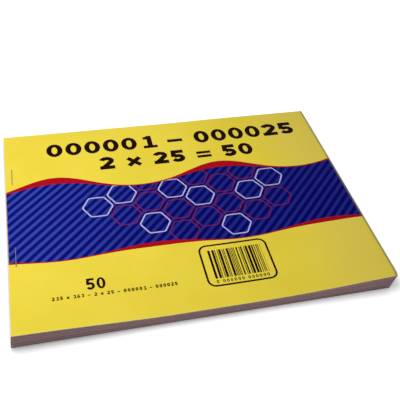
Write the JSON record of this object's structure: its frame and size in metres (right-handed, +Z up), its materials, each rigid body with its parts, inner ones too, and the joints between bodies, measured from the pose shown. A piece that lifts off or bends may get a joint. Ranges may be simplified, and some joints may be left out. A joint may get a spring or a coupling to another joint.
{
  "type": "duplicate delivery note book",
  "caption": "Side-stapled pad of paired white and tinted form leaves between card covers; the front cover and leaves turn over beside the bound edge.",
  "frame": {"origin": "middle of the underside of the closed book", "axes": "+X from the stapled spine to the fore-edge, +Y from the front edge (tail) to the head, +Z up out of the front cover"},
  "size_m": [0.215, 0.163, 0.0086],
  "materials": {
    "cover_card": "coated yellow card with a printed blue band",
    "back_board": "uncoated yellow board",
    "original_paper": "uncoated white form paper",
    "copy_paper": "uncoated pink-lilac copy paper",
    "bound_paper": "edges of white and pink leaves pressed together",
    "steel_wire": "bright drawn wire"
  },
  "bodies": {
    "binding": {"back_cover": "back_board", "bound_stubs": "bound_paper", "front_cover_strip": "cover_card", "upper_staple": "steel_wire", "lower_staple": "steel_wire"},
    "front_cover": {"front_cover": "cover_card"},
    "original_01": {"original_01": "original_paper"},
    "copy_01": {"copy_01": "copy_paper"},
    "original_02": {"original_02": "original_paper"},
    "copy_02": {"copy_02": "copy_paper"},
    "original_03": {"original_03": "original_paper"},
    "copy_03": {"copy_03": "copy_paper"},
    "original_04": {"original_04": "original_paper"},
    "copy_04": {"copy_04": "copy_paper"},
    "original_05": {"original_05": "original_paper"},
    "copy_05": {"copy_05": "copy_paper"},
    "original_06": {"original_06": "original_paper"},
    "copy_06": {"copy_06": "copy_paper"},
    "original_07": {"original_07": "original_paper"},
    "copy_07": {"copy_07": "copy_paper"},
    "original_08": {"original_08": "original_paper"},
    "copy_08": {"copy_08": "copy_paper"},
    "original_09": {"original_09": "original_paper"},
    "copy_09": {"copy_09": "copy_paper"},
    "original_10": {"original_10": "original_paper"},
    "copy_10": {"copy_10": "copy_paper"},
    "original_11": {"original_11": "original_paper"},
    "copy_11": {"copy_11": "copy_paper"},
    "original_12": {"original_12": "original_paper"},
    "copy_12": {"copy_12": "copy_paper"},
    "original_13": {"original_13": "original_paper"},
    "copy_13": {"copy_13": "copy_paper"},
    "original_14": {"original_14": "original_paper"},
    "copy_14": {"copy_14": "copy_paper"},
    "original_15": {"original_15": "original_paper"},
    "copy_15": {"copy_15": "copy_paper"},
    "original_16": {"original_16": "original_paper"},
    "copy_16": {"copy_16": "copy_paper"},
    "original_17": {"original_17": "original_paper"},
    "copy_17": {"copy_17": "copy_paper"},
    "original_18": {"original_18": "original_paper"},
    "copy_18": {"copy_18": "copy_paper"},
    "original_19": {"original_19": "original_paper"},
    "copy_19": {"copy_19": "copy_paper"},
    "original_20": {"original_20": "original_paper"},
    "copy_20": {"copy_20": "copy_paper"},
    "original_21": {"original_21": "original_paper"},
    "copy_21": {"copy_21": "copy_paper"},
    "original_22": {"original_22": "original_paper"},
    "copy_22": {"copy_22": "copy_paper"},
    "original_23": {"original_23": "original_paper"},
    "copy_23": {"copy_23": "copy_paper"},
    "original_24": {"original_24": "original_paper"},
    "copy_24": {"copy_24": "copy_paper"},
    "original_25": {"original_25": "original_paper"},
    "copy_25": {"copy_25": "copy_paper"}
  },
  "joints": [
    {"name": "front_cover_turn", "type": "hinge", "parent": "binding", "child": "front_cover", "pos_m": [-0.0955, 0, 0.01054], "axis": [0, -1, 0], "range_deg": [0, 179]},
    {"name": "original_01_turn", "type": "hinge", "parent": "binding", "child": "original_01", "pos_m": [-0.0955, 0, 0.01054], "axis": [0, -1, 0], "range_deg": [0, 178.11]},
    {"name": "copy_01_turn", "type": "hinge", "parent": "binding", "child": "copy_01", "pos_m": [-0.0955, 0, 0.01054], "axis": [0, -1, 0], "range_deg": [0, 177.22]},
    {"name": "original_02_turn", "type": "hinge", "parent": "binding", "child": "original_02", "pos_m": [-0.0955, 0, 0.01054], "axis": [0, -1, 0], "range_deg": [0, 176.32]},
    {"name": "copy_02_turn", "type": "hinge", "parent": "binding", "child": "copy_02", "pos_m": [-0.0955, 0, 0.01054], "axis": [0, -1, 0], "range_deg": [0, 175.43]},
    {"name": "original_03_turn", "type": "hinge", "parent": "binding", "child": "original_03", "pos_m": [-0.0955, 0, 0.01054], "axis": [0, -1, 0], "range_deg": [0, 174.53]},
    {"name": "copy_03_turn", "type": "hinge", "parent": "binding", "child": "copy_03", "pos_m": [-0.0955, 0, 0.01054], "axis": [0, -1, 0], "range_deg": [0, 173.64]},
    {"name": "original_04_turn", "type": "hinge", "parent": "binding", "child": "original_04", "pos_m": [-0.0955, 0, 0.01054], "axis": [0, -1, 0], "range_deg": [0, 172.74]},
    {"name": "copy_04_turn", "type": "hinge", "parent": "binding", "child": "copy_04", "pos_m": [-0.0955, 0, 0.01054], "axis": [0, -1, 0], "range_deg": [0, 171.85]},
    {"name": "original_05_turn", "type": "hinge", "parent": "binding", "child": "original_05", "pos_m": [-0.0955, 0, 0.01054], "axis": [0, -1, 0], "range_deg": [0, 170.95]},
    {"name": "copy_05_turn", "type": "hinge", "parent": "binding", "child": "copy_05", "pos_m": [-0.0955, 0, 0.01054], "axis": [0, -1, 0], "range_deg": [0, 170.06]},
    {"name": "original_06_turn", "type": "hinge", "parent": "binding", "child": "original_06", "pos_m": [-0.0955, 0, 0.01054], "axis": [0, -1, 0], "range_deg": [0, 169.14]},
    {"name": "copy_06_turn", "type": "hinge", "parent": "binding", "child": "copy_06", "pos_m": [-0.0955, 0, 0.01054], "axis": [0, -1, 0], "range_deg": [0, 168.25]},
    {"name": "original_07_turn", "type": "hinge", "parent": "binding", "child": "original_07", "pos_m": [-0.0955, 0, 0.01054], "axis": [0, -1, 0], "range_deg": [0, 167.34]},
    {"name": "copy_07_turn", "type": "hinge", "parent": "binding", "child": "copy_07", "pos_m": [-0.0955, 0, 0.01054], "axis": [0, -1, 0], "range_deg": [0, 166.42]},
    {"name": "original_08_turn", "type": "hinge", "parent": "binding", "child": "original_08", "pos_m": [-0.0955, 0, 0.01054], "axis": [0, -1, 0], "range_deg": [0, 165.51]},
    {"name": "copy_08_turn", "type": "hinge", "parent": "binding", "child": "copy_08", "pos_m": [-0.0955, 0, 0.01054], "axis": [0, -1, 0], "range_deg": [0, 164.58]},
    {"name": "original_09_turn", "type": "hinge", "parent": "binding", "child": "original_09", "pos_m": [-0.0955, 0, 0.01054], "axis": [0, -1, 0], "range_deg": [0, 163.63]},
    {"name": "copy_09_turn", "type": "hinge", "parent": "binding", "child": "copy_09", "pos_m": [-0.0955, 0, 0.01054], "axis": [0, -1, 0], "range_deg": [0, 162.66]},
    {"name": "original_10_turn", "type": "hinge", "parent": "binding", "child": "original_10", "pos_m": [-0.0955, 0, 0.01054], "axis": [0, -1, 0], "range_deg": [0, 161.68]},
    {"name": "copy_10_turn", "type": "hinge", "parent": "binding", "child": "copy_10", "pos_m": [-0.0955, 0, 0.01054], "axis": [0, -1, 0], "range_deg": [0, 160.66]},
    {"name": "original_11_turn", "type": "hinge", "parent": "binding", "child": "original_11", "pos_m": [-0.0955, 0, 0.01054], "axis": [0, -1, 0], "range_deg": [0, 159.62]},
    {"name": "copy_11_turn", "type": "hinge", "parent": "binding", "child": "copy_11", "pos_m": [-0.0955, 0, 0.01054], "axis": [0, -1, 0], "range_deg": [0, 158.53]},
    {"name": "original_12_turn", "type": "hinge", "parent": "binding", "child": "original_12", "pos_m": [-0.0955, 0, 0.01054], "axis": [0, -1, 0], "range_deg": [0, 157.4]},
    {"name": "copy_12_turn", "type": "hinge", "parent": "binding", "child": "copy_12", "pos_m": [-0.0955, 0, 0.01054], "axis": [0, -1, 0], "range_deg": [0, 156.22]},
    {"name": "original_13_turn", "type": "hinge", "parent": "binding", "child": "original_13", "pos_m": [-0.0955, 0, 0.01054], "axis": [0, -1, 0], "range_deg": [0, 154.95]},
    {"name": "copy_13_turn", "type": "hinge", "parent": "binding", "child": "copy_13", "pos_m": [-0.0955, 0, 0.01054], "axis": [0, -1, 0], "range_deg": [0, 153.61]},
    {"name": "original_14_turn", "type": "hinge", "parent": "binding", "child": "original_14", "pos_m": [-0.0955, 0, 0.01054], "axis": [0, -1, 0], "range_deg": [0, 152.17]},
    {"name": "copy_14_turn", "type": "hinge", "parent": "binding", "child": "copy_14", "pos_m": [-0.0955, 0, 0.01054], "axis": [0, -1, 0], "range_deg": [0, 150.63]},
    {"name": "original_15_turn", "type": "hinge", "parent": "binding", "child": "original_15", "pos_m": [-0.0955, 0, 0.01054], "axis": [0, -1, 0], "range_deg": [0, 148.97]},
    {"name": "copy_15_turn", "type": "hinge", "parent": "binding", "child": "copy_15", "pos_m": [-0.0955, 0, 0.01054], "axis": [0, -1, 0], "range_deg": [0, 147.14]},
    {"name": "original_16_turn", "type": "hinge", "parent": "binding", "child": "original_16", "pos_m": [-0.0955, 0, 0.01054], "axis": [0, -1, 0], "range_deg": [0, 145.16]},
    {"name": "copy_16_turn", "type": "hinge", "parent": "binding", "child": "copy_16", "pos_m": [-0.0955, 0, 0.01054], "axis": [0, -1, 0], "range_deg": [0, 142.99]},
    {"name": "original_17_turn", "type": "hinge", "parent": "binding", "child": "original_17", "pos_m": [-0.0955, 0, 0.01054], "axis": [0, -1, 0], "range_deg": [0, 140.59]},
    {"name": "copy_17_turn", "type": "hinge", "parent": "binding", "child": "copy_17", "pos_m": [-0.0955, 0, 0.01054], "axis": [0, -1, 0], "range_deg": [0, 137.96]},
    {"name": "original_18_turn", "type": "hinge", "parent": "binding", "child": "original_18", "pos_m": [-0.0955, 0, 0.01054], "axis": [0, -1, 0], "range_deg": [0, 135.04]},
    {"name": "copy_18_turn", "type": "hinge", "parent": "binding", "child": "copy_18", "pos_m": [-0.0955, 0, 0.01054], "axis": [0, -1, 0], "range_deg": [0, 131.82]},
    {"name": "original_19_turn", "type": "hinge", "parent": "binding", "child": "original_19", "pos_m": [-0.0955, 0, 0.01054], "axis": [0, -1, 0], "range_deg": [0, 128.26]},
    {"name": "copy_19_turn", "type": "hinge", "parent": "binding", "child": "copy_19", "pos_m": [-0.0955, 0, 0.01054], "axis": [0, -1, 0], "range_deg": [0, 124.3]},
    {"name": "original_20_turn", "type": "hinge", "parent": "binding", "child": "original_20", "pos_m": [-0.0955, 0, 0.01054], "axis": [0, -1, 0], "range_deg": [0, 119.92]},
    {"name": "copy_20_turn", "type": "hinge", "parent": "binding", "child": "copy_20", "pos_m": [-0.0955, 0, 0.01054], "axis": [0, -1, 0], "range_deg": [0, 115.05]},
    {"name": "original_21_turn", "type": "hinge", "parent": "binding", "child": "original_21", "pos_m": [-0.0955, 0, 0.01054], "axis": [0, -1, 0], "range_deg": [0, 109.66]},
    {"name": "copy_21_turn", "type": "hinge", "parent": "binding", "child": "copy_21", "pos_m": [-0.0955, 0, 0.01054], "axis": [0, -1, 0], "range_deg": [0, 103.68]},
    {"name": "original_22_turn", "type": "hinge", "parent": "binding", "child": "original_22", "pos_m": [-0.0955, 0, 0.01054], "axis": [0, -1, 0], "range_deg": [0, 97.08]},
    {"name": "copy_22_turn", "type": "hinge", "parent": "binding", "child": "copy_22", "pos_m": [-0.0955, 0, 0.01054], "axis": [0, -1, 0], "range_deg": [0, 89.76]},
    {"name": "original_23_turn", "type": "hinge", "parent": "binding", "child": "original_23", "pos_m": [-0.0955, 0, 0.01054], "axis": [0, -1, 0], "range_deg": [0, 81.65]},
    {"name": "copy_23_turn", "type": "hinge", "parent": "binding", "child": "copy_23", "pos_m": [-0.0955, 0, 0.01054], "axis": [0, -1, 0], "range_deg": [0, 72.72]},
    {"name": "original_24_turn", "type": "hinge", "parent": "binding", "child": "original_24", "pos_m": [-0.0955, 0, 0.01054], "axis": [0, -1, 0], "range_deg": [0, 62.85]},
    {"name": "copy_24_turn", "type": "hinge", "parent": "binding", "child": "copy_24", "pos_m": [-0.0955, 0, 0.01054], "axis": [0, -1, 0], "range_deg": [0, 51.97]},
    {"name": "original_25_turn", "type": "hinge", "parent": "binding", "child": "original_25", "pos_m": [-0.0955, 0, 0.01054], "axis": [0, -1, 0], "range_deg": [0, 40.01]},
    {"name": "copy_25_turn", "type": "hinge", "parent": "binding", "child": "copy_25", "pos_m": [-0.0955, 0, 0.01054], "axis": [0, -1, 0], "range_deg": [0, 26.86]}
  ],
  "couplings": [
    {"joint": "original_01_turn", "follows": "front_cover_turn", "ratio": 0.995},
    {"joint": "copy_01_turn", "follows": "front_cover_turn", "ratio": 0.99},
    {"joint": "original_02_turn", "follows": "front_cover_turn", "ratio": 0.985},
    {"joint": "copy_02_turn", "follows": "front_cover_turn", "ratio": 0.98},
    {"joint": "original_03_turn", "follows": "front_cover_turn", "ratio": 0.975},
    {"joint": "copy_03_turn", "follows": "front_cover_turn", "ratio": 0.97},
    {"joint": "original_04_turn", "follows": "front_cover_turn", "ratio": 0.965},
    {"joint": "copy_04_turn", "follows": "front_cover_turn", "ratio": 0.96},
    {"joint": "original_05_turn", "follows": "front_cover_turn", "ratio": 0.955},
    {"joint": "copy_05_turn", "follows": "front_cover_turn", "ratio": 0.95},
    {"joint": "original_06_turn", "follows": "front_cover_turn", "ratio": 0.9449},
    {"joint": "copy_06_turn", "follows": "front_cover_turn", "ratio": 0.9399},
    {"joint": "original_07_turn", "follows": "front_cover_turn", "ratio": 0.9348},
    {"joint": "copy_07_turn", "follows": "front_cover_turn", "ratio": 0.9297},
    {"joint": "original_08_turn", "follows": "front_cover_turn", "ratio": 0.9246},
    {"joint": "copy_08_turn", "follows": "front_cover_turn", "ratio": 0.9194},
    {"joint": "original_09_turn", "follows": "front_cover_turn", "ratio": 0.9141},
    {"joint": "copy_09_turn", "follows": "front_cover_turn", "ratio": 0.9087},
    {"joint": "original_10_turn", "follows": "front_cover_turn", "ratio": 0.9032},
    {"joint": "copy_10_turn", "follows": "front_cover_turn", "ratio": 0.8975},
    {"joint": "original_11_turn", "follows": "front_cover_turn", "ratio": 0.8917},
    {"joint": "copy_11_turn", "follows": "front_cover_turn", "ratio": 0.8856},
    {"joint": "original_12_turn", "follows": "front_cover_turn", "ratio": 0.8793},
    {"joint": "copy_12_turn", "follows": "front_cover_turn", "ratio": 0.8727},
    {"joint": "original_13_turn", "follows": "front_cover_turn", "ratio": 0.8656},
    {"joint": "copy_13_turn", "follows": "front_cover_turn", "ratio": 0.8581},
    {"joint": "original_14_turn", "follows": "front_cover_turn", "ratio": 0.8501},
    {"joint": "copy_14_turn", "follows": "front_cover_turn", "ratio": 0.8415},
    {"joint": "original_15_turn", "follows": "front_cover_turn", "ratio": 0.8322},
    {"joint": "copy_15_turn", "follows": "front_cover_turn", "ratio": 0.822},
    {"joint": "original_16_turn", "follows": "front_cover_turn", "ratio": 0.8109},
    {"joint": "copy_16_turn", "follows": "front_cover_turn", "ratio": 0.7988},
    {"joint": "original_17_turn", "follows": "front_cover_turn", "ratio": 0.7854},
    {"joint": "copy_17_turn", "follows": "front_cover_turn", "ratio": 0.7707},
    {"joint": "original_18_turn", "follows": "front_cover_turn", "ratio": 0.7544},
    {"joint": "copy_18_turn", "follows": "front_cover_turn", "ratio": 0.7364},
    {"joint": "original_19_turn", "follows": "front_cover_turn", "ratio": 0.7165},
    {"joint": "copy_19_turn", "follows": "front_cover_turn", "ratio": 0.6944},
    {"joint": "original_20_turn", "follows": "front_cover_turn", "ratio": 0.6699},
    {"joint": "copy_20_turn", "follows": "front_cover_turn", "ratio": 0.6427},
    {"joint": "original_21_turn", "follows": "front_cover_turn", "ratio": 0.6126},
    {"joint": "copy_21_turn", "follows": "front_cover_turn", "ratio": 0.5792},
    {"joint": "original_22_turn", "follows": "front_cover_turn", "ratio": 0.5423},
    {"joint": "copy_22_turn", "follows": "front_cover_turn", "ratio": 0.5014},
    {"joint": "original_23_turn", "follows": "front_cover_turn", "ratio": 0.4561},
    {"joint": "copy_23_turn", "follows": "front_cover_turn", "ratio": 0.4062},
    {"joint": "original_24_turn", "follows": "front_cover_turn", "ratio": 0.3511},
    {"joint": "copy_24_turn", "follows": "front_cover_turn", "ratio": 0.2903},
    {"joint": "original_25_turn", "follows": "front_cover_turn", "ratio": 0.2235},
    {"joint": "copy_25_turn", "follows": "front_cover_turn", "ratio": 0.15}
  ]
}
